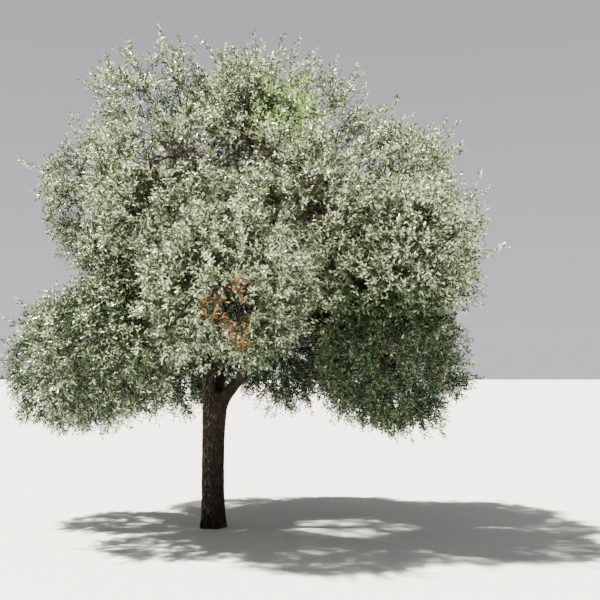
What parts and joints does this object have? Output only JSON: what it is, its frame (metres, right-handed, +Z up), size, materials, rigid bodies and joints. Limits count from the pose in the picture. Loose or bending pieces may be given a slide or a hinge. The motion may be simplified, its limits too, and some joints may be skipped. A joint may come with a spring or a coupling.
{
  "type": "jodina tree",
  "caption": "Small evergreen jodina tree rooted in the ground: short stout dark trunk forking low into a broad, dense, rounded crown of small stiff grey-green rhombic leaves.",
  "frame": {"origin": "middle of the flat cut under the trunk, at ground level", "axes": "+Z up along the trunk, -Y towards the viewer of the picture, +X to the viewer's right"},
  "size_m": [5.1208, 4.5777, 5.2662],
  "materials": {
    "bark": "rough, fissured, dark brown-black bark",
    "foliage": "satin, grey-green leathery leaves"
  },
  "bodies": {
    "root": {"trunk": "bark", "bough_shoulder_back_left": "bark", "bough_shoulder_back_right": "bark", "bough_shoulder_front_left": "bark", "bough_shoulder_front_right": "bark", "bough_shoulder_left": "bark", "bough_shoulder_right": "bark", "bough_skirt_back": "bark", "bough_skirt_back_left": "bark", "bough_skirt_back_right": "bark", "bough_skirt_front_left": "bark", "bough_skirt_front_right": "bark", "bough_skirt_left": "bark", "bough_top": "bark", "bough_upper_back": "bark", "bough_upper_front": "bark", "bough_upper_left": "bark", "bough_upper_right": "bark", "bough_waist_back": "bark", "bough_waist_back_left": "bark", "bough_waist_back_right": "bark", "bough_waist_front": "bark", "bough_waist_front_left": "bark", "bough_waist_front_right": "bark", "foliage_shoulder_back_left": "foliage", "foliage_shoulder_back_right": "foliage", "foliage_shoulder_front_left": "foliage", "foliage_shoulder_front_right": "foliage", "foliage_shoulder_left": "foliage", "foliage_shoulder_right": "foliage", "foliage_skirt_back": "foliage", "foliage_skirt_back_left": "foliage", "foliage_skirt_back_right": "foliage", "foliage_skirt_front_left": "foliage", "foliage_skirt_front_right": "foliage", "foliage_skirt_left": "foliage", "foliage_top": "foliage", "foliage_upper_back": "foliage", "foliage_upper_front": "foliage", "foliage_upper_left": "foliage", "foliage_upper_right": "foliage", "foliage_waist_back": "foliage", "foliage_waist_back_left": "foliage", "foliage_waist_back_right": "foliage", "foliage_waist_front": "foliage", "foliage_waist_front_left": "foliage", "foliage_waist_front_right": "foliage"}
  },
  "joints": []
}
